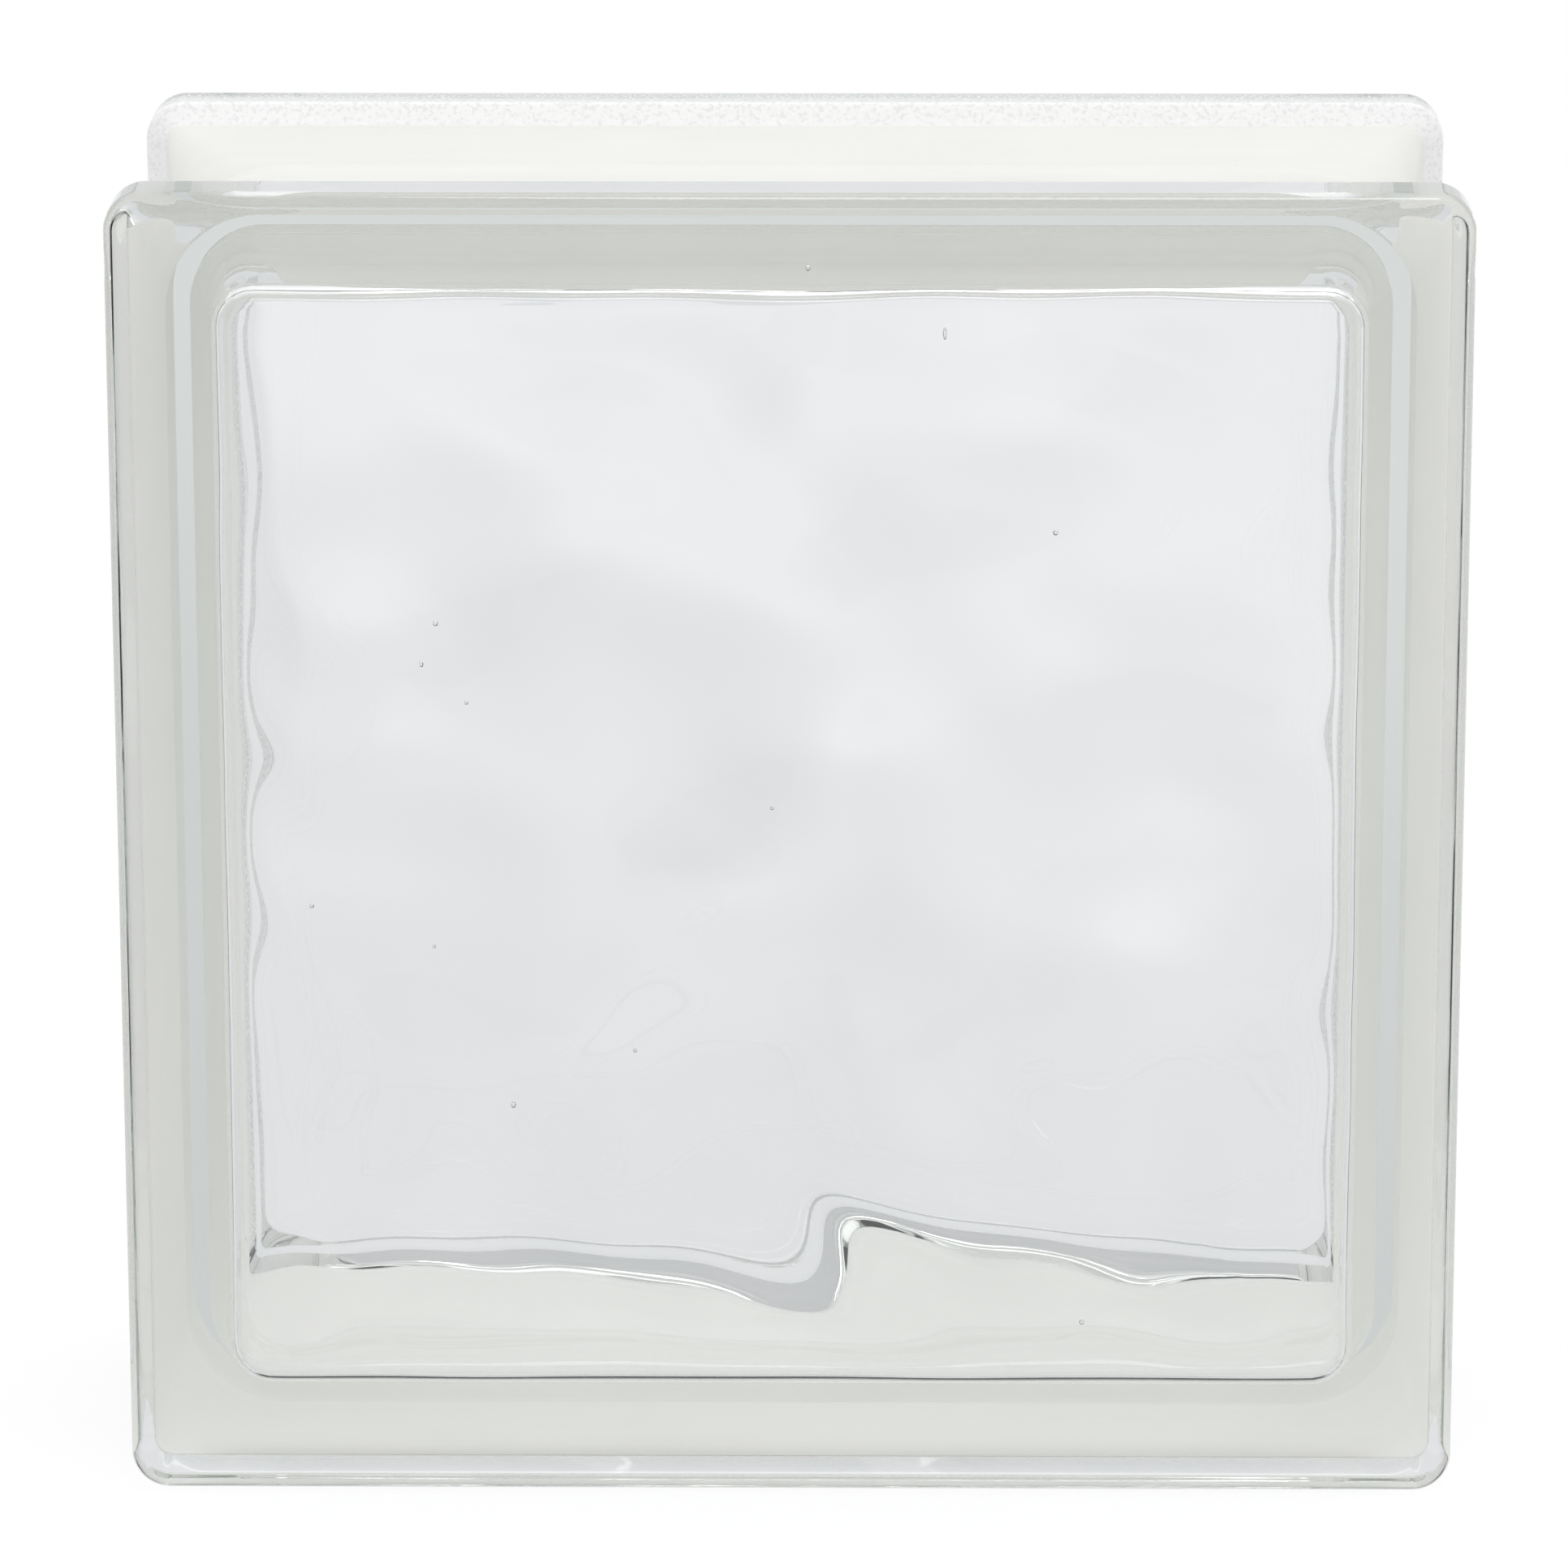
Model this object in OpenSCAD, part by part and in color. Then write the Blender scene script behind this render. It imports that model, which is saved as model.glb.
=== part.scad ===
// Hollow pressed-glass block with waved inner faces, cast as two halves and fused at mid depth.
// Millimetres, +Z up, the front face looks along -Y, origin at the middle of the underside.

/* [Block] */
// Width and height of the square face.
face_size = 190; // [150:1:300]
// Depth from the front face to the rear face.
block_depth = 80; // [70:1:110]
// Corner radius of the face, seen from the front.
corner_radius = 5.5; // [5.5:0.5:12]
// Rounding where a face turns into its edge.
edge_round = 2.25; // [0.5:0.25:3]

/* [Edge channel] */
// Width of each flange along the depth, with the rounding.
flange_width = 9.8; // [7:0.2:14]
// Depth of the channel at the foot of its shoulder.
channel_depth = 3.1; // [2:0.1:4]
// How much deeper the two slopes of the channel would meet at mid depth, without the ridge.
channel_fall = 5.8; // [4:0.1:6.2]
// How far the shoulder leans from the flange into the channel.
shoulder_run = 2; // [1:0.25:4]
// Rounding at the top of the shoulder.
shoulder_round = 1; // [0.25:0.25:1.5]
// Height of the fused ridge over the line where the slopes would meet.
seam_height = 4.9; // [3:0.1:5.5]
// Width of the fused ridge.
seam_width = 22; // [16:1:26]
// Corner radius of the fused ridge, seen from the front.
seam_corner = 20; // [14:1:24]

/* [Hollow] */
// Mean thickness of the front and rear panes.
pane_thickness = 8.5; // [7:0.25:12]
// Distance from the outside to the hollow where a pane meets the side wall.
wall_at_pane = 14.2; // [13.6:0.2:24]
// How much the hollow widens from a pane to the seam on each side.
wall_draft = 5; // [2:0.25:5.5]
// Height of the fused bead inside the hollow.
bead_height = 2.2; // [0.5:0.1:3]
// Width of the fused bead.
bead_width = 9; // [6:0.5:12]
// Corner radius of the hollow, seen from the front.
hollow_corner = 6; // [4.5:0.5:16]
// Fillet between a pane and the side walls.
hollow_fillet = 3; // [2:0.25:4.25]

/* [Waves] */
// Rise and fall of the waves on each pane.
wave_height = 1.6; // [0:0.1:2.5]
// Mean length of the waves.
wave_length = 36; // [24:1:60]
// Margin over which the waves calm down towards the side walls.
wave_margin = 10; // [4:1:20]

/* [Hidden] */
half = face_size / 2;
back = block_depth / 2;
inner = half - corner_radius;
pane_half = half - wall_at_pane;
flat_half = pane_half - hollow_fillet;
flat_corner = hollow_corner - hollow_fillet;
calm_share = 0.35;
grid = 36;
fillet_steps = 3;
bead_steps = 6;
arc_steps = 6;
core_steps = 12;
corner_steps = 8;
rim = 4 * grid;
sheet = (grid + 1) * (grid + 1);

// How far the core reaches into the flanges, and its lift that lets it cut their shoulders cleanly.
overlap = 1;
foot_lift = 0.05;

// Each swell: share of the height, share of the length, heading and start in degrees.
swells = [
    [0.343, 2.535, 82.5, 346], [0.326, 1.232, 49.3, 24], [0.294, 1.570, 137.4, 184],
    [0.272, 0.961, 3.2, 115], [0.208, 1.034, 72.6, 201], [0.181, 0.909, 41.8, 35],
    [0.146, 0.730, 30.1, 352], [0.116, 1.215, 121.4, 181], [0.095, 0.648, 93.1, 295],
    [0.068, 0.520, 75.8, 279], [0.045, 0.477, 40.8, 28]];

// Height of the sum of the swells at one place on a pane.
function waves(x, z) =
    let (parts = [for (s = swells)
        s[0] * cos(360 * (x * cos(s[2]) + z * sin(s[2])) / (s[1] * wave_length) + s[3])])
    wave_height * (parts * [for (s = swells) 1]);

// Share of the waves that is left at a distance from the edge of the flat.
function calm(d) =
    let (t = max(0, min(1, d / wave_margin)))
    calm_share + (1 - calm_share) * t * t * (3 - 2 * t);

// Place on a rounded square of a given half size and corner radius, for u and v from -1 to 1.
function square_place(u, v, size, round) =
    let (m = max(abs(u), abs(v)),
         core = m * (size - round),
         kx = max(-core, min(core, u * size)),
         kz = max(-core, min(core, v * size)),
         ex = u * size - kx,
         ez = v * size - kz,
         e = norm([ex, ez]))
    e == 0 ? [u * size, v * size] : [kx + m * round * ex / e, kz + m * round * ez / e];

// Grid place of step i around the border of a sheet.
function border(i) =
    i < grid ? [i, 0]
    : i < 2 * grid ? [grid, i - grid]
    : i < 3 * grid ? [3 * grid - i, grid]
    : [0, 4 * grid - i];

// Point on the waved face of the front pane (side -1) or the rear pane (side 1).
// Both halves come from one mould, and the rear one is turned about the upright axis.
function pane_point(i, j, side) =
    let (u = 2 * i / grid - 1,
         v = 2 * j / grid - 1,
         p = square_place(u, v, flat_half, flat_corner),
         d = flat_half * (1 - max(abs(u), abs(v))),
         h = waves(-side * p[0], p[1]))
    [p[0], side * (back - pane_thickness - h * calm(d)), half + p[1]];

// Rounded hump of a height and a width at a distance from the middle of the depth.
function hump(y, height, width) =
    abs(y) >= width / 2 ? 0 : height * (1 + cos(360 * y / width)) / 2;

// Half size of the hollow's wall, and its rows from the front pane to the rear pane.
wall_top = back - pane_thickness - hollow_fillet;
front_rows = [for (k = [1 : fillet_steps])
    let (a = 90 * k / fillet_steps)
    [flat_half + hollow_fillet * sin(a), -(wall_top + hollow_fillet * cos(a))]];
function wall_size(y) = pane_half + wall_draft * (1 - abs(y) / wall_top) - hump(y, bead_height, bead_width);
bead_rows = [for (k = [-bead_steps / 2 : bead_steps / 2])
    let (y = k * bead_width / bead_steps)
    [wall_size(y), y]];
rear_rows = [for (k = [fillet_steps : -1 : 1])
    [front_rows[k - 1][0], -front_rows[k - 1][1]]];
rows = concat(front_rows, bead_rows, rear_rows);

// Points of one row around the hollow's wall.
function row_points(row) =
    [for (i = [0 : rim - 1])
        let (b = border(i),
             p = square_place(2 * b[0] / grid - 1, 2 * b[1] / grid - 1,
                 row[0], row[0] - flat_half + flat_corner))
        [p[0], row[1], half + p[1]]];

// Number of a sheet's point, and of a row's point. Row 0 and the last row are sheet borders.
function sheet_number(i, j, start) = start + j * (grid + 1) + i;
function row_number(k, i) =
    let (n = (i + rim) % rim, b = border(n))
    k == 0 ? sheet_number(b[0], b[1], 0)
    : k == len(rows) + 1 ? sheet_number(b[0], b[1], sheet)
    : 2 * sheet + (k - 1) * rim + n;

module waved_hollow() {
    points = concat(
        [for (j = [0 : grid]) for (i = [0 : grid]) pane_point(i, j, -1)],
        [for (j = [0 : grid]) for (i = [0 : grid]) pane_point(i, j, 1)],
        [for (row = rows) for (p = row_points(row)) p]);
    front = [for (j = [0 : grid - 1]) for (i = [0 : grid - 1]) for (t = [0, 1])
        let (a = sheet_number(i, j, 0), b = sheet_number(i + 1, j, 0),
             c = sheet_number(i + 1, j + 1, 0), d = sheet_number(i, j + 1, 0))
        t == 0 ? [a, c, b] : [a, d, c]];
    rear = [for (j = [0 : grid - 1]) for (i = [0 : grid - 1]) for (t = [0, 1])
        let (a = sheet_number(i, j, sheet), b = sheet_number(i + 1, j, sheet),
             c = sheet_number(i + 1, j + 1, sheet), d = sheet_number(i, j + 1, sheet))
        t == 0 ? [a, b, c] : [a, c, d]];
    walls = [for (k = [0 : len(rows)]) for (i = [0 : rim - 1]) for (t = [0, 1])
        let (a = row_number(k, i), b = row_number(k, i + 1),
             c = row_number(k + 1, i + 1), d = row_number(k + 1, i))
        t == 0 ? [a, b, c] : [a, c, d]];
    polyhedron(points, concat(front, rear, walls), convexity = 6);
}

// Outline of one flange from the channel to its face: depth along the block, reach over its edge.
foot_y = back - flange_width - shoulder_run;
function arc(cx, cy, r, a0, a1) =
    [for (k = [0 : arc_steps])
        let (a = a0 + (a1 - a0) * k / arc_steps)
        [cx + r * cos(a), cy + r * sin(a)]];
lean = atan2(channel_depth, shoulder_run);
set_back = shoulder_round * tan(lean / 2);
flange_start = [foot_y - overlap / tan(lean), -channel_depth - overlap];
flange_line = concat(
    [flange_start],
    arc(back - flange_width + set_back, -shoulder_round, shoulder_round, 90 + lean, 90),
    arc(back - edge_round, -edge_round, edge_round, 90, 0));

// Section through the front flange, from edge to edge.
module flange_across() {
    right = [for (p = flange_line) [half + p[1], -p[0]]];
    left = [for (k = [len(right) - 1 : -1 : 0]) [-right[k][0], right[k][1]]];
    polygon(concat(right, left));
}

module flange_corner() {
    rotate_extrude(angle = 90, $fn = 96)
        polygon(concat([for (p = flange_line) [corner_radius + p[1], p[0]]],
            [[0, back], [0, flange_start[0]]]));
}

module flange() {
    translate([0, 0, half]) {
        for (turn = [0, 90])
            rotate([0, turn, 0])
                translate([0, 0, -inner])
                    linear_extrude(height = 2 * inner) flange_across();
        for (turn = [0 : 90 : 270])
            rotate([0, turn, 0])
                translate([inner, 0, inner])
                    rotate([90, 0, 0]) flange_corner();
    }
}

// Depth of the channel between its feet: two slopes with the fused ridge between them.
function channel_at(y) =
    channel_depth + channel_fall * (1 - abs(y) / foot_y) - hump(y, seam_height, seam_width);
function core_corner(y) =
    let (foot_corner = corner_radius - channel_depth)
    foot_corner + (seam_corner - foot_corner) * (1 - abs(y) / foot_y);

// Ring of points on a rounded square at one depth.
function ring(y, size, round) =
    [for (q = [0 : 3]) for (k = [0 : corner_steps])
        let (a = 90 * q + 90 * k / corner_steps,
             sx = q == 0 || q == 3 ? 1 : -1,
             sz = q < 2 ? 1 : -1)
        [sx * (size - round) + round * cos(a), y, half + sz * (size - round) + round * sin(a)]];
core_ends = [for (side = [-1, 1])
    ring(side * (foot_y + overlap), half - channel_depth, corner_radius - channel_depth)];
core_rings = concat(
    [core_ends[0]],
    [for (k = [-core_steps : core_steps])
        let (y = k * foot_y / core_steps)
        ring(y, half - channel_at(y) + foot_lift, core_corner(y))],
    [core_ends[1]]);

// The block between its flanges: rings that follow the channel's slopes and the fused ridge.
module core() {
    n = len(core_rings[0]);
    last = len(core_rings) - 1;
    walls = [for (k = [0 : last - 1]) for (i = [0 : n - 1]) for (t = [0, 1])
        let (j = (i + 1) % n,
             a = k * n + i, b = k * n + j, c = (k + 1) * n + j, d = (k + 1) * n + i)
        t == 0 ? [a, b, c] : [a, c, d]];
    caps = [[for (i = [n - 1 : -1 : 0]) i], [for (i = [0 : n - 1]) last * n + i]];
    polyhedron([for (r = core_rings) for (p = r) p], concat(walls, caps), convexity = 4);
}

module body() {
    flange();
    mirror([0, 1, 0]) flange();
    core();
}

module glass_block() {
    color([0.86, 0.9, 0.87])
        difference() {
            body();
            waved_hollow();
        }
}

glass_block();
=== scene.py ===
import bpy
import numpy as np
from mathutils import Matrix


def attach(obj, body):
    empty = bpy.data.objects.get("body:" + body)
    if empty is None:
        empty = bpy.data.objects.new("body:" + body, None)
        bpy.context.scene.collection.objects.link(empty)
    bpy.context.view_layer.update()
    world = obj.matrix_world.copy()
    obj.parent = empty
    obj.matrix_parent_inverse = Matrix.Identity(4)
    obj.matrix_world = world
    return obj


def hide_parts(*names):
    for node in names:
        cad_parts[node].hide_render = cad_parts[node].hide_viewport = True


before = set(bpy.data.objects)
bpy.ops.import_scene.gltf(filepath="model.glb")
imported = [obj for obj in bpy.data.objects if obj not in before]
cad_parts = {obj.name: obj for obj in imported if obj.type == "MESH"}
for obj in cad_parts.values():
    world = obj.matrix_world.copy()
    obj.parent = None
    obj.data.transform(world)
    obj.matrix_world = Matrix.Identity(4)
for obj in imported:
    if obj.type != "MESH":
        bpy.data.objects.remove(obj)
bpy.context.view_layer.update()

# Sizes of the block in metres, the same as in the part's source

MM = 0.001
HALF = 95.0 * MM
BACK = 40.0 * MM
CORNER = 5.5 * MM
EDGE_ROUND = 2.25 * MM
FLANGE = 9.8 * MM
CHANNEL = 3.1 * MM
CHANNEL_FALL = 5.8 * MM
SHOULDER_RUN = 2.0 * MM
SHOULDER_ROUND = 1.0 * MM
SEAM_HEIGHT = 4.9 * MM
SEAM_WIDTH = 22.0 * MM
SEAM_CORNER = 20.0 * MM
PANE = 8.5 * MM
WALL_AT_PANE = 14.2 * MM
WALL_DRAFT = 5.0 * MM
BEAD_HEIGHT = 2.2 * MM
BEAD_WIDTH = 9.0 * MM
HOLLOW_CORNER = 6.0 * MM
HOLLOW_FILLET = 3.0 * MM
WAVE_HEIGHT = 1.6 * MM
WAVE_LENGTH = 36.0 * MM
WAVE_MARGIN = 10.0 * MM
CALM_SHARE = 0.35
# Each swell: its share of the height, its length as a multiple, its heading and its start in degrees
SWELLS = np.array([
    [0.343, 2.535, 82.5, 346], [0.326, 1.232, 49.3, 24], [0.294, 1.570, 137.4, 184],
    [0.272, 0.961, 3.2, 115], [0.208, 1.034, 72.6, 201], [0.181, 0.909, 41.8, 35],
    [0.146, 0.730, 30.1, 352], [0.116, 1.215, 121.4, 181], [0.095, 0.648, 93.1, 295],
    [0.068, 0.520, 75.8, 279], [0.045, 0.477, 40.8, 28]])

FOOT = BACK - FLANGE - SHOULDER_RUN
FOOT_CORNER = CORNER - CHANNEL
PANE_HALF = HALF - WALL_AT_PANE
FLAT_HALF = PANE_HALF - HOLLOW_FILLET
FLAT_CORNER = HOLLOW_CORNER - HOLLOW_FILLET
WALL_TOP = BACK - PANE - HOLLOW_FILLET


# Surfaces

def waves(x, z):
    """Height of the swells: a sum of slanted cosine waves, each with its share of height and length."""
    share, length, heading, start = SWELLS.T
    heading, start = np.radians(heading), np.radians(start)
    along = x[..., None] * np.cos(heading) + z[..., None] * np.sin(heading)
    return WAVE_HEIGHT * (share * np.cos(2 * np.pi * along / (length * WAVE_LENGTH) + start)).sum(-1)


def calm(distance):
    """Share of the waves left near the side walls: a smooth step over the margin."""
    t = np.clip(distance / WAVE_MARGIN, 0, 1)
    return CALM_SHARE + (1 - CALM_SHARE) * t * t * (3 - 2 * t)


def square_place(u, v, size, rounding):
    """Place on a rounded square: the square ring through u, v, with its corner turned into an arc."""
    ring = np.maximum(abs(u), abs(v))
    core = ring * (size - rounding)
    kx, kz = np.clip(u * size, -core, core), np.clip(v * size, -core, core)
    ex, ez = u * size - kx, v * size - kz
    reach = np.maximum(np.hypot(ex, ez), 1e-12)
    return kx + ring * rounding * ex / reach, kz + ring * rounding * ez / reach


def hump(y, height, width):
    """One cosine hump of a height across a width."""
    return np.where(abs(y) < width / 2, height * (1 + np.cos(2 * np.pi * y / width)) / 2, 0)


def strip(first, second):
    """Quads between two closed rows of point numbers."""
    return np.stack([first, np.roll(first, -1), np.roll(second, -1), second], -1)


def hollow_skin(cells=112, fillet_steps=12, wall_rows=6, bead_rows=15):
    """The sealed hollow: two waved square sheets, joined by rows that follow the fillets and drafted walls."""
    u, v = np.meshgrid(np.linspace(-1, 1, cells + 1), np.linspace(-1, 1, cells + 1))
    x, z = square_place(u, v, FLAT_HALF, FLAT_CORNER)
    depth = calm(FLAT_HALF * (1 - np.maximum(abs(u), abs(v))))
    sheets = [np.stack([x, side * (BACK - PANE - waves(-side * x, z) * depth), HALF + z], -1).reshape(-1, 3)
              for side in (-1, 1)]
    number = np.arange((cells + 1) ** 2).reshape(cells + 1, cells + 1)
    border = np.concatenate([number[0, :-1], number[:-1, -1], number[-1, :0:-1], number[:0:-1, 0]])
    bu, bv = u.ravel()[border], v.ravel()[border]
    edge_y = [sheet[border, 1] for sheet in sheets]
    turn = np.radians(90 * np.arange(1, fillet_steps + 1) / fillet_steps)
    fillet = np.stack([FLAT_HALF + HOLLOW_FILLET * np.sin(turn), WALL_TOP + HOLLOW_FILLET * np.cos(turn)], -1)
    # The wall's rows keep clear of the fillets' ends and of the bead's edges
    past_fillet, past_bead, bead_edge = 0.6 * MM, 0.3 * MM, BEAD_WIDTH / 2
    wall_y = np.concatenate([np.linspace(-WALL_TOP + past_fillet, -bead_edge - past_bead, wall_rows),
                             np.linspace(-bead_edge, bead_edge, bead_rows),
                             np.linspace(bead_edge + past_bead, WALL_TOP - past_fillet, wall_rows)])
    wall_size = PANE_HALF + WALL_DRAFT * (1 - abs(wall_y) / WALL_TOP) - hump(wall_y, BEAD_HEIGHT, BEAD_WIDTH)
    wall = np.stack([wall_size, wall_y], -1)
    rows = np.concatenate([fillet * [1, -1], wall, fillet[::-1]])
    rx, rz = square_place(bu, bv, rows[:, :1], rows[:, :1] - FLAT_HALF + FLAT_CORNER)
    ry = np.broadcast_to(rows[:, 1:], rx.shape)
    # Each fillet starts from the sheet's own waved edge and settles on the wall
    settle = np.zeros(len(rows))
    settle[:fillet_steps] = np.cos(turn) ** 2
    back_settle = settle[::-1]
    ry = ry + settle[:, None] * (edge_y[0] + BACK - PANE) + back_settle[:, None] * (edge_y[1] - BACK + PANE)
    side = np.stack([rx, ry, HALF + rz], -1)
    total = number.size
    rows_of_side = np.arange(len(rows))[:, None] * len(border) + np.arange(len(border))
    rims = [border, *(2 * total + rows_of_side), border + total]
    quads = np.stack([number[:-1, :-1], number[:-1, 1:], number[1:, 1:], number[1:, :-1]], -1).reshape(-1, 4)
    faces = np.concatenate([quads, total + quads[:, ::-1], *(strip(b, a) for a, b in zip(rims, rims[1:]))])
    return np.concatenate([*sheets, side.reshape(-1, 3)]), faces


def edge_outline(ridge_rows=15, slope_rows=8, foot_rows=5, shoulder_rows=8, rounding_rows=10):
    """Half of the edge's outline from the seam to the face: fused ridge, slope, shoulder, land, rounding.

    Each row is a depth along the block, a reach over its edge and a corner radius seen from the front."""
    lean = np.arctan2(CHANNEL, SHOULDER_RUN)
    set_back = SHOULDER_ROUND * np.tan(lean / 2)

    def arc(y, out, radius, first, last, steps):
        """Rows on an arc from its first angle to its last."""
        a = np.linspace(first, last, steps)
        return np.stack([y + radius * np.cos(a), out + radius * np.sin(a)], -1)

    def slope(y):
        """Rows on the channel: a straight fall to the middle, with the ridge's hump on it."""
        return np.stack([y, hump(y, SEAM_HEIGHT, SEAM_WIDTH) - CHANNEL - CHANNEL_FALL * (1 - y / FOOT)], -1)

    # The foot is a short curve between the slope and the shoulder
    bend = 0.5 * MM
    t = np.linspace(0, 1, foot_rows)[:, None]
    low, foot = slope(np.array([FOOT - bend, FOOT]))
    high = foot + bend * np.array([np.cos(lean), np.sin(lean)])
    # Three rows keep the land flat between its two roundings
    land = BACK - FLANGE + set_back
    land_y = np.array([land + 0.4 * MM, BACK - FLANGE + 2.4 * MM, BACK - EDGE_ROUND - 0.3 * MM])
    quarter = np.pi / 2
    line = np.concatenate([
        slope(np.linspace(0, SEAM_WIDTH / 2, ridge_rows)),
        slope(np.linspace(SEAM_WIDTH / 2, FOOT - bend, slope_rows)[1:-1]),
        (1 - t) ** 2 * low + 2 * t * (1 - t) * foot + t ** 2 * high,
        arc(land, -SHOULDER_ROUND, SHOULDER_ROUND, quarter + lean, quarter, shoulder_rows),
        np.stack([land_y, np.zeros_like(land_y)], -1),
        arc(BACK - EDGE_ROUND, -EDGE_ROUND, EDGE_ROUND, quarter, 0, rounding_rows)])
    y, out = line.T
    corner = np.where(y < FOOT, FOOT_CORNER + (SEAM_CORNER - FOOT_CORNER) * (1 - y / FOOT), CORNER + out)
    return y, out, corner


def square_steps(side_steps=12, corner_steps=12):
    """Steps round a rounded square: the side or corner each belongs to, and its outward direction."""
    share = np.linspace(-1, 1, side_steps, endpoint=False)
    turn = np.linspace(0, np.pi / 2, corner_steps, endpoint=False)
    side = np.concatenate([np.stack([share, np.full_like(share, -1)], -1),
                           np.repeat([[1.0, -1.0]], corner_steps, 0)])
    out = np.concatenate([np.repeat([[0, -1.0]], side_steps, 0),
                          np.stack([np.sin(turn), -np.cos(turn)], -1)])
    spins = [np.array([[c, s], [-s, c]]) for c, s in ((1, 0), (0, 1), (-1, 0), (0, -1))]
    return np.concatenate([side @ m for m in spins]), np.concatenate([out @ m for m in spins])


def square_rings(y, out, corner):
    """Rings round the block, one for each row of an outline: rounded squares at a depth, a reach and a radius."""
    side, away = square_steps()
    flat = side * (HALF + out - corner)[:, None, None] + away * corner[:, None, None]
    return np.stack([flat[..., 0], np.broadcast_to(y[:, None], flat.shape[:2]), HALF + flat[..., 1]], -1)


def both_halves(y, out, corner):
    """An outline of the front half from its end to the seam, then of the rear half."""
    return np.append(-y[::-1], y[1:]), np.append(out[::-1], out[1:]), np.append(corner[::-1], corner[1:])


def outer_skin(face_insets=(0.3 * MM, 1.5 * MM)):
    """The outside: the edge's outline carried round the rounded square, closed by the two flat faces."""
    y, out, corner = edge_outline()
    # Two more rings on each face keep its flat part flat
    inset = out[-1] - np.array(face_insets)
    y, out = np.append(y, [BACK, BACK]), np.append(out, inset)
    corner = np.append(corner, CORNER + inset)
    rings = square_rings(*both_halves(y, out, corner))
    number = np.arange(rings[..., 0].size).reshape(rings.shape[:2])
    walls = np.concatenate([strip(a, b) for a, b in zip(number, number[1:])])
    return rings.reshape(-1, 3), [walls, number[:1, ::-1], number[-1:]]


def coat_film(over=0.03 * MM, under=0.05 * MM, past_foot=0.2 * MM, inside_box=0.01 * MM):
    """The coat: a closed film on both sides of the glass surface.

    It runs from the front foot over the channel to the rear land, and stays inside the block's box."""
    y, out, corner = both_halves(*edge_outline())
    kept = (y > -FOOT - past_foot) & (y < BACK - EDGE_ROUND)
    y, out, corner = y[kept], out[kept], corner[kept]
    tilt = np.stack([-np.gradient(out), np.gradient(y)], -1)
    tilt /= np.linalg.norm(tilt, axis=-1)[:, None]
    layers = []
    for step in (np.minimum(over, -out - inside_box), np.full_like(out, -under)):
        layers.append(square_rings(y + step * tilt[:, 0], out + step * tilt[:, 1], corner + step * tilt[:, 1]))
    rings = np.concatenate([layers[0], layers[1][::-1]])
    number = np.arange(rings[..., 0].size).reshape(rings.shape[:2])
    return rings.reshape(-1, 3), [np.concatenate([strip(a, b) for a, b in zip(number, np.roll(number, -1, 0))])]


def seed_bubbles(places, around=12, along=7):
    """Small air seeds in the glass: spheres stretched along one direction, from longitude and latitude."""
    a = np.linspace(0, 2 * np.pi, around, endpoint=False)
    b = np.linspace(-np.pi / 2, np.pi / 2, along)[1:-1]
    ring = np.stack([np.cos(b)[:, None] * np.cos(a), np.cos(b)[:, None] * np.sin(a),
                     np.repeat(np.sin(b)[:, None], around, 1)], -1).reshape(-1, 3)
    ball = np.concatenate([ring, [[0, 0, -1], [0, 0, 1]]])
    number = np.arange(len(ring)).reshape(len(b), around)
    quads = np.concatenate([strip(p, q) for p, q in zip(number, number[1:])])
    low = np.stack([np.roll(number[0], -1), number[0], np.full(around, len(ring))], -1)
    high = np.stack([number[-1], np.roll(number[-1], -1), np.full(around, len(ring) + 1)], -1)
    centre, size = places[:, None, :3], places[:, None, 3:]
    points = (centre + ball[None] * size).reshape(-1, 3)
    step = (np.arange(len(places)) * len(ball))[:, None, None]
    return points, (quads[None] + step).reshape(-1, 4), (np.concatenate([low, high])[None] + step).reshape(-1, 3)


def enclosed(points, faces):
    """Volume inside a closed skin, by fans of triangles from each face's first corner."""
    p = points[faces]
    fans = (np.cross(p[:, k], p[:, k + 1]) for k in range(1, p.shape[1] - 1))
    return sum(np.einsum("ij,ij->i", p[:, 0], fan).sum() for fan in fans) / 6


def outwards(points, faces, sign):
    """The faces turned so that the skin's volume has the wanted sign."""
    volume = sum(enclosed(points, f) for f in faces)
    return [f if volume * sign > 0 else f[:, ::-1] for f in faces]


def make_piece(name, points, faces, finish):
    """A smooth mesh piece of one finish from point and face arrays."""
    mesh = bpy.data.meshes.new(name)
    corners = np.concatenate([f.ravel() for f in faces]).astype(np.int32)
    sizes = np.concatenate([np.full(len(f), f.shape[1]) for f in faces])
    mesh.vertices.add(len(points))
    mesh.vertices.foreach_set("co", points.astype(np.float32).ravel())
    mesh.loops.add(len(corners))
    mesh.loops.foreach_set("vertex_index", corners)
    mesh.polygons.add(len(sizes))
    mesh.polygons.foreach_set("loop_start", np.concatenate([[0], np.cumsum(sizes)[:-1]]).astype(np.int32))
    mesh.polygons.foreach_set("use_smooth", np.ones(len(sizes), bool))
    mesh.materials.append(finish)
    mesh.update(calc_edges=True)
    mesh.validate()
    piece = bpy.data.objects.new(name, mesh)
    bpy.context.scene.collection.objects.link(piece)
    return piece


# Finishes

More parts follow.
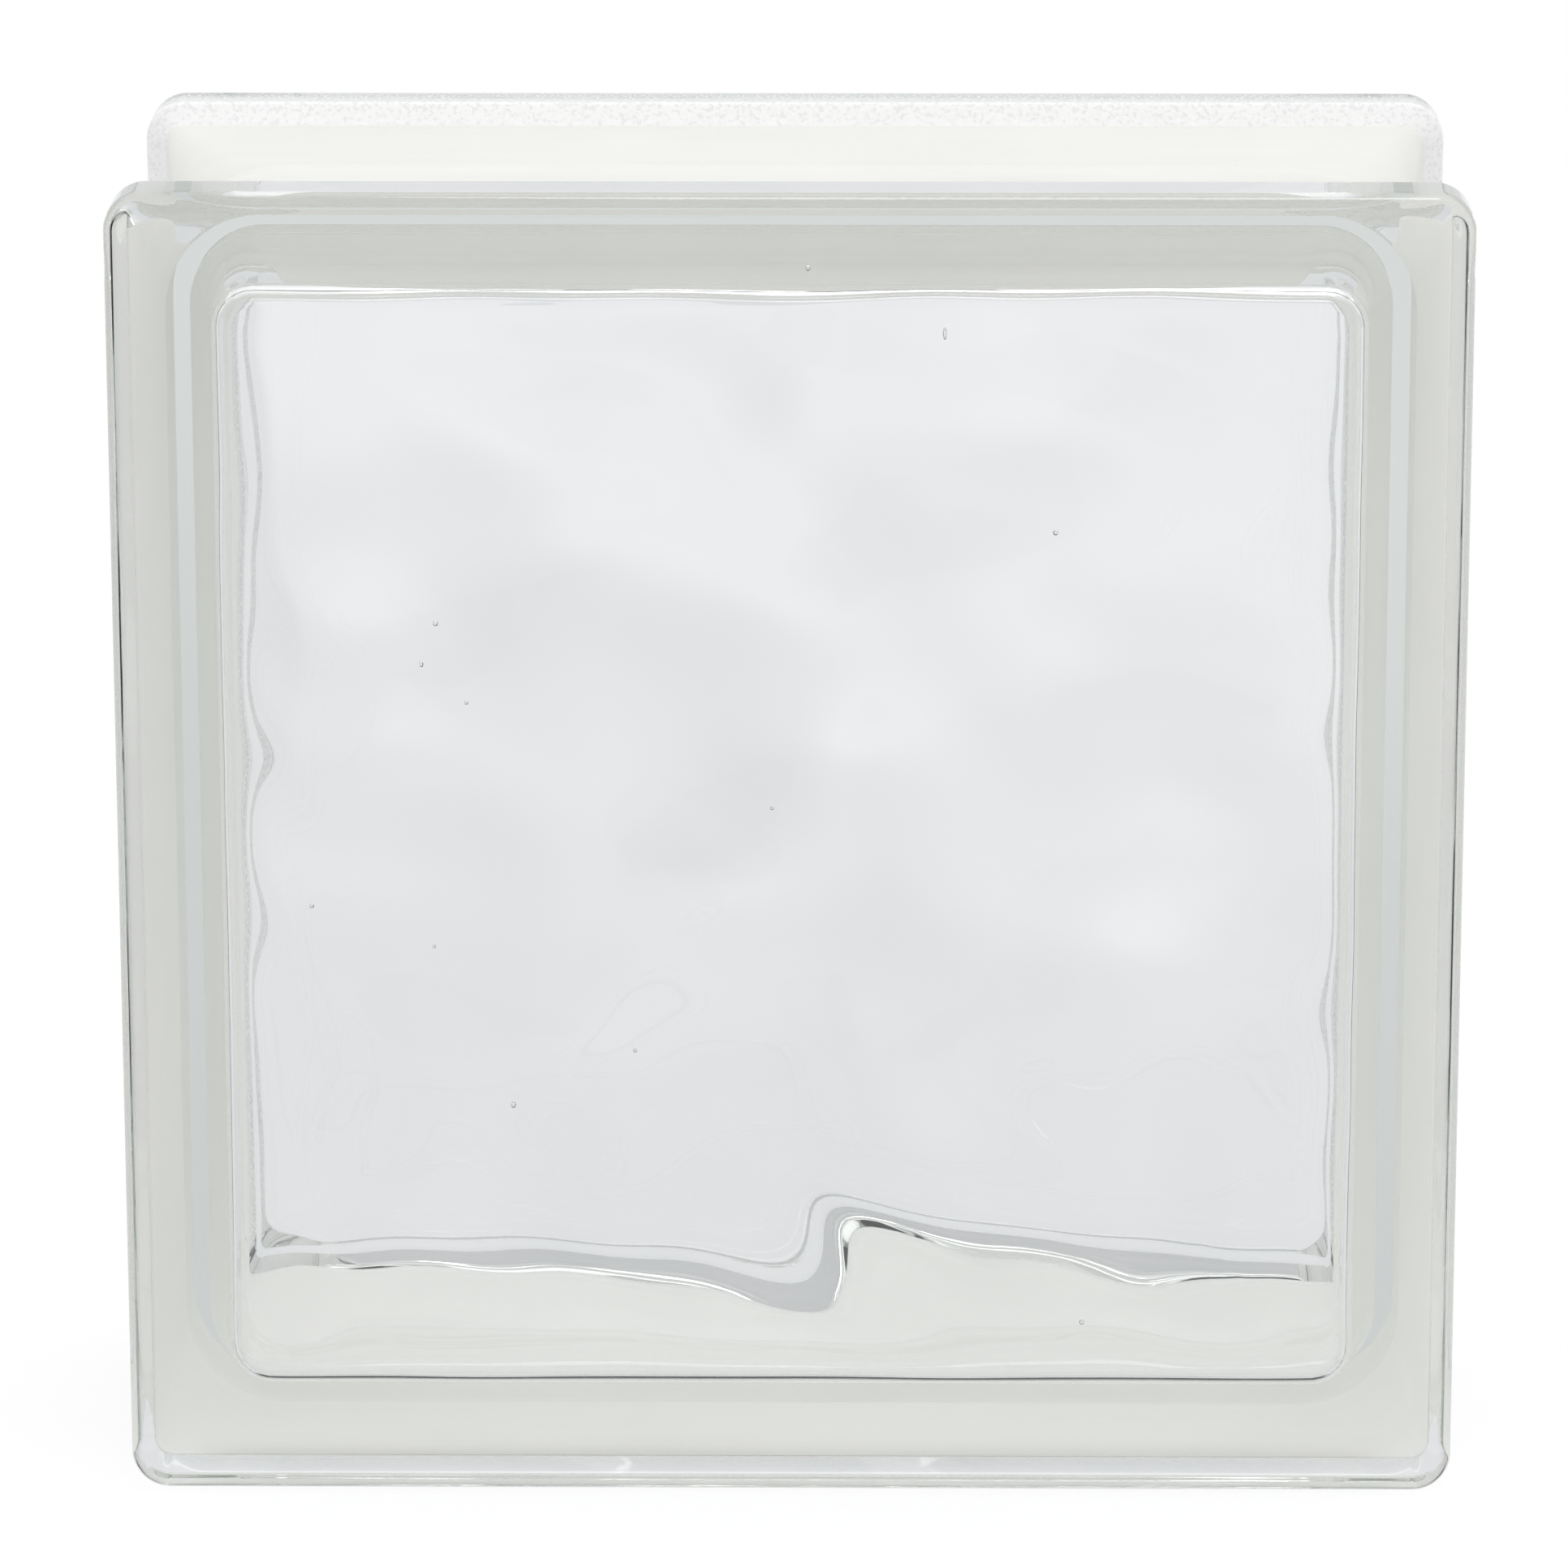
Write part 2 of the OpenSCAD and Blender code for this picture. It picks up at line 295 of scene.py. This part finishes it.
class Value:
    """A socket with its tree. Sums on values add Math nodes."""

    def __init__(self, tree, socket):
        self.tree, self.socket = tree, socket

    def sum(self, operation, *terms):
        node = self.tree.nodes.new("ShaderNodeMath")
        node.operation = operation
        for place, term in zip(node.inputs, terms):
            if isinstance(term, Value):
                self.tree.links.new(term.socket, place)
            else:
                place.default_value = term
        return Value(self.tree, node.outputs[0])

    def __add__(self, other):
        return self.sum("ADD", self, other)

    def __radd__(self, other):
        return self.sum("ADD", other, self)

    def __sub__(self, other):
        return self.sum("SUBTRACT", self, other)

    def __rsub__(self, other):
        return self.sum("SUBTRACT", other, self)

    def __mul__(self, other):
        return self.sum("MULTIPLY", self, other)

    def __rmul__(self, other):
        return self.sum("MULTIPLY", other, self)

    def __truediv__(self, other):
        return self.sum("DIVIDE", self, other)

    def __pow__(self, other):
        return self.sum("POWER", self, other)

    def size(self):
        return self.sum("ABSOLUTE", self)

    def most(self, other):
        return self.sum("MAXIMUM", self, other)


class Finish:
    """A node tree of a material or the world."""

    def __init__(self, owner):
        owner.use_nodes = True
        self.owner, self.tree = owner, owner.node_tree
        self.tree.nodes.clear()

    def node(self, kind, settings=None, sockets=None, out=0):
        """One node: its settings first, then the values or links of its sockets."""
        made = self.tree.nodes.new(kind)
        for key, value in (settings or {}).items():
            setattr(made, key, value)
        for key, value in (sockets or {}).items():
            if isinstance(value, Value):
                self.tree.links.new(value.socket, made.inputs[key])
            else:
                made.inputs[key].default_value = value
        return Value(self.tree, made.outputs[out]) if made.outputs else None

    def step(self, value, low, high):
        """Smooth step from 0 at low to 1 at high."""
        return self.node("ShaderNodeMapRange", {"interpolation_type": "SMOOTHSTEP"},
                         {"Value": value, "From Min": low, "From Max": high})

    def blend(self, share, first, second):
        """Colour between first and second, which are sockets 6 and 7 of the node."""
        return self.node("ShaderNodeMix", {"data_type": "RGBA"}, {0: share, 6: first, 7: second}, 2)

    def place(self):
        """Object coordinates, in metres."""
        return self.node("ShaderNodeTexCoord", out="Object")

    def axes(self, vector):
        """The x, y and z of a vector."""
        return [self.node("ShaderNodeSeparateXYZ", None, {"Vector": vector}, axis) for axis in "XYZ"]

    def way(self, kind):
        """1 on one kind of way of light, else 0."""
        return self.node("ShaderNodeLightPath", out=f"Is {kind} Ray")

    def seen(self):
        """1 on a way of light straight to the camera, through glass or by a mirror, else 0."""
        return self.way("Camera").most(self.way("Glossy")).most(self.way("Transmission"))

    def grain(self, scale, detail=2.0, rough=0.5, where=None):
        """Fractal noise on Object coordinates, or on another vector."""
        return self.node("ShaderNodeTexNoise", {"noise_dimensions": "3D"}, {
            "Vector": where or self.place(), "Scale": scale, "Detail": detail, "Roughness": rough})

    def cover(self, share, first, second):
        """Surface between first and second."""
        return self.node("ShaderNodeMixShader", None, {0: share, 1: first, 2: second})


WHITE = (1, 1, 1, 1)


def clear_glass():
    """Clear soda glass: slightly green in depth, with faint cords, the drawn-out streaks of uneven melt."""
    f = Finish(bpy.data.materials.new("clear_glass"))
    cord_colour, cord_stretch, cords_per_metre = (0.978, 0.982, 0.982, 1), (1.6, 1.0, 0.7), 30.0
    depth_colour, depth_per_metre = (0.46, 0.52, 0.47, 1), 7.0
    soda_glass_index = 1.52
    drawn = f.node("ShaderNodeVectorMath", {"operation": "MULTIPLY"}, {0: f.place(), 1: cord_stretch})
    cords = f.step(f.grain(cords_per_metre, 0.0, where=drawn), 0.3, 0.75)
    bent = f.node("ShaderNodeBsdfPrincipled", {"distribution": "GGX"}, {
        "Base Color": f.blend(cords, WHITE, cord_colour), "IOR": soda_glass_index,
        "Transmission Weight": 1.0, "Roughness": 0.0})
    depth = f.node("ShaderNodeVolumeAbsorption", None, {"Color": depth_colour, "Density": depth_per_metre})
    # Light scattered by the coat leaves the glass straight on, so that the coat is lit in few steps
    surface = f.cover(f.way("Diffuse"), bent, f.node("ShaderNodeBsdfTransparent"))
    f.node("ShaderNodeOutputMaterial", None, {"Surface": surface, "Volume": depth})
    return f.owner


def edge_coat():
    """Cream coat in the channel, turning into white grit on the rear shoulder and loose grains on the rear land.

    The coat is thin and lets part of the light through. It leaves bare glass at the top front corners."""
    f = Finish(bpy.data.materials.new("edge_coat"))
    dull_cream, pale_cream = (0.93, 0.925, 0.90, 1), (0.99, 0.985, 0.965, 1)
    dull_grain, pale_grain = (0.88, 0.885, 0.885, 1), (0.97, 0.97, 0.97, 1)
    shine_through, shine_share = (0.98, 0.98, 0.96, 1), 0.66
    x, y, z = f.axes(f.place())
    away, front = y.size(), f.step(y, 2 * MM, -2 * MM)
    # Noise in cells per metre: ragged outlines, cloudy patches and sand, and streaks of the brush along the channel
    ragged = f.grain(85.0, 0.0) - 0.5
    patches = f.grain(26.0, 2.0, 0.6)
    sand = f.grain(1500.0, 1.0, 0.6)
    brush = f.node("ShaderNodeCombineXYZ", None, {0: y * 900.0, 1: (x + z) * 26.0})
    streaks = f.grain(1.0, 1.0, 0.5, brush)
    top = f.step(z - HALF - x.size() + 14 * MM * ragged, -0.5 * MM, 0.5 * MM)
    grit = f.step(y + 0.4 * MM * (sand - 0.5), 27.8 * MM, 28.4 * MM)
    tone = 0.55 * f.step(patches, 0.35, 0.7) + 0.45 * f.step(streaks, 0.3, 0.7)
    cream = f.blend(tone, dull_cream, pale_cream)
    white = f.blend(f.step(sand, 0.36, 0.62), dull_grain, pale_grain)
    solid = f.node("ShaderNodeBsdfPrincipled", None, {
        "Base Color": f.blend(grit, cream, white), "Roughness": 0.55 + 0.35 * grit, "Specular IOR Level": 0.0})
    lit = f.node("ShaderNodeBsdfTranslucent", None, {"Color": shine_through})
    film = f.cover(shine_share - 0.03 * top - 0.2 * grit, solid, lit)
    # Grains thin out over the rear land. Near the floor there are none, and the coat ends at the rear foot
    grains_end, floor_end, thinning, haze_share = 33.5 * MM, 5.6 * MM, 45.0, 0.92
    low = f.step(z, 12 * MM, 6 * MM)
    grains = f.step((sand - 0.5) * (1.0 - low) - (y + floor_end * low - grains_end) * thinning, -0.12, 0.12)
    haze = haze_share * f.step(y, 37.6 * MM, 31.5 * MM) * (1.0 - low)
    # At the top front the coat narrows to a point towards each corner, and on the sides its ridge edge runs out
    point_at, widest, narrowing = 77.5 * MM, 28.4 * MM, 7.0
    run_out_from, run_out_slope = 176 * MM, 0.9
    narrow = away + 4 * MM * ragged - widest * (1.0 - (x.size() / point_at) ** narrowing)
    run_out = (z + 12 * MM * ragged - run_out_from) * run_out_slope - away
    bare = f.step(top * narrow + (1.0 - top) * run_out, -0.1 * MM, 0.1 * MM)
    bare = front * f.step(away, 6 * MM, 8 * MM) * bare
    coated = grains.most(haze) * (1.0 - bare)
    surface = f.cover(coated, f.node("ShaderNodeBsdfTransparent"), film)
    f.node("ShaderNodeOutputMaterial", None, {"Surface": surface})
    return f.owner


def pale_floor():
    """Pale table top. Straight to the camera it is lifted to white and keeps part of its shade."""
    f = Finish(bpy.data.materials.new("pale_floor"))
    near_painted_glow, far_painted_glow = (0.815, 0.82, 0.84, 1), (0.925, 0.93, 0.945, 1)
    table, unlit = (0.80, 0.80, 0.81, 1), (0.05, 0.05, 0.05, 1)
    kept_shade, painted_shadow_share = 0.2, 0.95
    camera, where = f.way("Camera"), f.place()
    across, along, _ = f.axes(where)
    # Painted light on the table: its glow is dimmer near the block and brighter further back and to the right
    painted_glow_sweep = f.blend(f.step(along + 0.8 * across, 0.1, 0.75), near_painted_glow, far_painted_glow)
    lit = f.node("ShaderNodeEmission", None, {"Color": f.blend(camera, painted_glow_sweep, WHITE), "Strength": 1.0})
    # Painted contact shadow under the front land: the floor's colour is darkened there and its glow is cut
    sideways, forward = across.size(), -1.0 * along
    under_front = f.step(forward, BACK - 4 * MM, BACK - 6 * MM) * f.step(forward, FOOT - 2 * MM, FOOT)
    painted_contact_shadow = f.step(sideways, HALF - 6 * MM, HALF - 14 * MM) * under_front
    plain = f.node("ShaderNodeBsdfPrincipled", None, {
        "Base Color": f.blend(painted_contact_shadow, table, unlit), "Roughness": 0.9, "Specular IOR Level": 0.1})
    # The shade fades out between these distances from the block
    far = f.node("ShaderNodeVectorMath", {"operation": "LENGTH"}, {0: where}, "Value")
    share = (1.0 - kept_shade * camera * f.step(far, 0.9, 0.35)) * (1.0 - painted_shadow_share * painted_contact_shadow)
    f.node("ShaderNodeOutputMaterial", None, {"Surface": f.cover(share, plain, lit)})
    return f.owner


# The block

# Each air seed: its centre and its half sizes
SEEDS = np.array([
    [-0.0497, -0.036, 0.1283, 0.00042, 0.0003, 0.0004], [0.0372, -0.036, 0.1415, 0.0004, 0.0003, 0.0004],
    [0.0216, -0.0355, 0.1698, 0.0003, 0.0003, 0.0009], [-0.0678, -0.035, 0.0868, 0.0004, 0.0003, 0.0003],
    [-0.0025, -0.036, 0.1015, 0.0003, 0.0003, 0.0003], [-0.0395, -0.0345, 0.0573, 0.0004, 0.0003, 0.0005],
    [-0.0221, -0.035, 0.0655, 0.0003, 0.0003, 0.0003], [-0.0455, -0.036, 0.1168, 0.0003, 0.0003, 0.0003],
    [-0.0518, -0.0345, 0.1221, 0.0003, 0.0003, 0.0004], [-0.0505, -0.036, 0.0811, 0.0003, 0.0003, 0.0003],
    [0.0418, -0.036, 0.0251, 0.0004, 0.0003, 0.0004], [0.0026, -0.036, 0.1791, 0.0004, 0.0003, 0.0004]])

glass, coat = clear_glass(), edge_coat()
hollow_points, hollow_faces = hollow_skin()
skin_points, skin_faces = outer_skin()
film_points, film_faces = coat_film()
bubble_points, bubble_quads, bubble_ends = seed_bubbles(SEEDS)
skin_faces = outwards(skin_points, skin_faces, 1)
hollow_faces = outwards(hollow_points, [hollow_faces], -1)
bubble_faces = outwards(bubble_points, [bubble_quads, bubble_ends], -1)
hollow_start = len(skin_points)
bubble_start = hollow_start + len(hollow_points)
block = make_piece("glass_block_body", np.concatenate([skin_points, hollow_points, bubble_points]),
                   [*skin_faces, hollow_faces[0] + hollow_start, *(f + bubble_start for f in bubble_faces)], glass)
film = make_piece("edge_coat", film_points, outwards(film_points, film_faces, 1), coat)
for piece in (block, film):
    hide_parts("glass_block")
    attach(piece, "root")

# Studio

def stand(name, data, side, top, back, place):
    """An object at a place, turned so that its own x, y and z run along side, top and back."""
    ob = bpy.data.objects.new(name, data)
    ob.matrix_world = Matrix([[side[i], top[i], back[i], place[i]] for i in range(3)] + [[0, 0, 0, 1]])
    bpy.context.scene.collection.objects.link(ob)
    return ob


def soft_lamp(name, place, aim, size, power):
    """A square soft box at a place, turned to face its aim."""
    lamp = bpy.data.lights.new(name, "AREA")
    lamp.size, lamp.energy = size, power
    back = np.array(place, float) - np.array(aim, float)
    back /= np.linalg.norm(back)
    side = np.cross([0, 0, 1], back)
    side /= np.linalg.norm(side)
    stand(name, lamp, side, np.cross(back, side), back, place)


reach, height = 6.0, -0.4 * MM
floor_points = np.array([[-reach, -reach, height], [reach, -reach, height], [reach, reach, height],
                         [-reach, reach, height]])
floor = make_piece("floor", floor_points, [np.array([[0, 1, 2, 3]])], pale_floor())

# The room is paler overhead and darker on the camera's side. Light that isn't seen is even
scene = bpy.context.scene
scene.world = bpy.data.worlds.new("studio")
scene.world.cycles.sampling_method = "NONE"
wall, ceiling, camera_side = (0.80, 0.81, 0.83, 1), (1.05, 1.05, 1.05, 1), (0.6, 0.6, 0.62, 1)
even_light = (1.32, 1.32, 1.32, 1)
w = Finish(scene.world)
_, depth, up = w.axes(w.node("ShaderNodeTexCoord", out="Generated"))
around = w.blend(w.step(up, 0.25, 0.6), wall, ceiling)
room = w.blend(w.step(depth, -0.2, -0.6), around, camera_side)
colour = w.blend(w.way("Camera"), w.blend(w.seen(), even_light, room), WHITE)
backdrop = w.node("ShaderNodeBackground", None, {"Color": colour, "Strength": 1.0})
w.node("ShaderNodeOutputWorld", None, {"Surface": backdrop})

aim = (0, 0, 0.1)
soft_lamp("top_soft_box", (0.1, -0.4, 1.8), aim, 0.45, 3.0)
soft_lamp("wide_soft_box", (0.9, 0.6, 2.4), aim, 2.2, 8.0)

# Camera of the photo's view

yaw, pitch, roll = np.radians([-0.7116, 15.1978, -0.0798])
eye = np.array([12.705, -1126.391, 400.896]) * MM
ahead = np.array([np.sin(yaw) * np.cos(pitch), np.cos(yaw) * np.cos(pitch), -np.sin(pitch)])
right = np.array([np.cos(yaw), -np.sin(yaw), 0.0])
top = np.cross(right, ahead)
right, top = np.cos(roll) * right + np.sin(roll) * top, np.cos(roll) * top - np.sin(roll) * right
lens = bpy.data.cameras.new("view")
lens.sensor_fit, lens.sensor_width, lens.lens = "HORIZONTAL", 36.0, 183.815
lens.clip_start, lens.clip_end = 0.05, 50.0
scene.camera = stand("view", lens, right, top, -ahead, eye)

scene.view_settings.view_transform = "Standard"
scene.cycles.max_bounces = 12
scene.cycles.transmission_bounces = 10
scene.cycles.glossy_bounces = 7
scene.cycles.diffuse_bounces = 2
scene.cycles.blur_glossy = 0.0
scene.cycles.use_light_tree = False
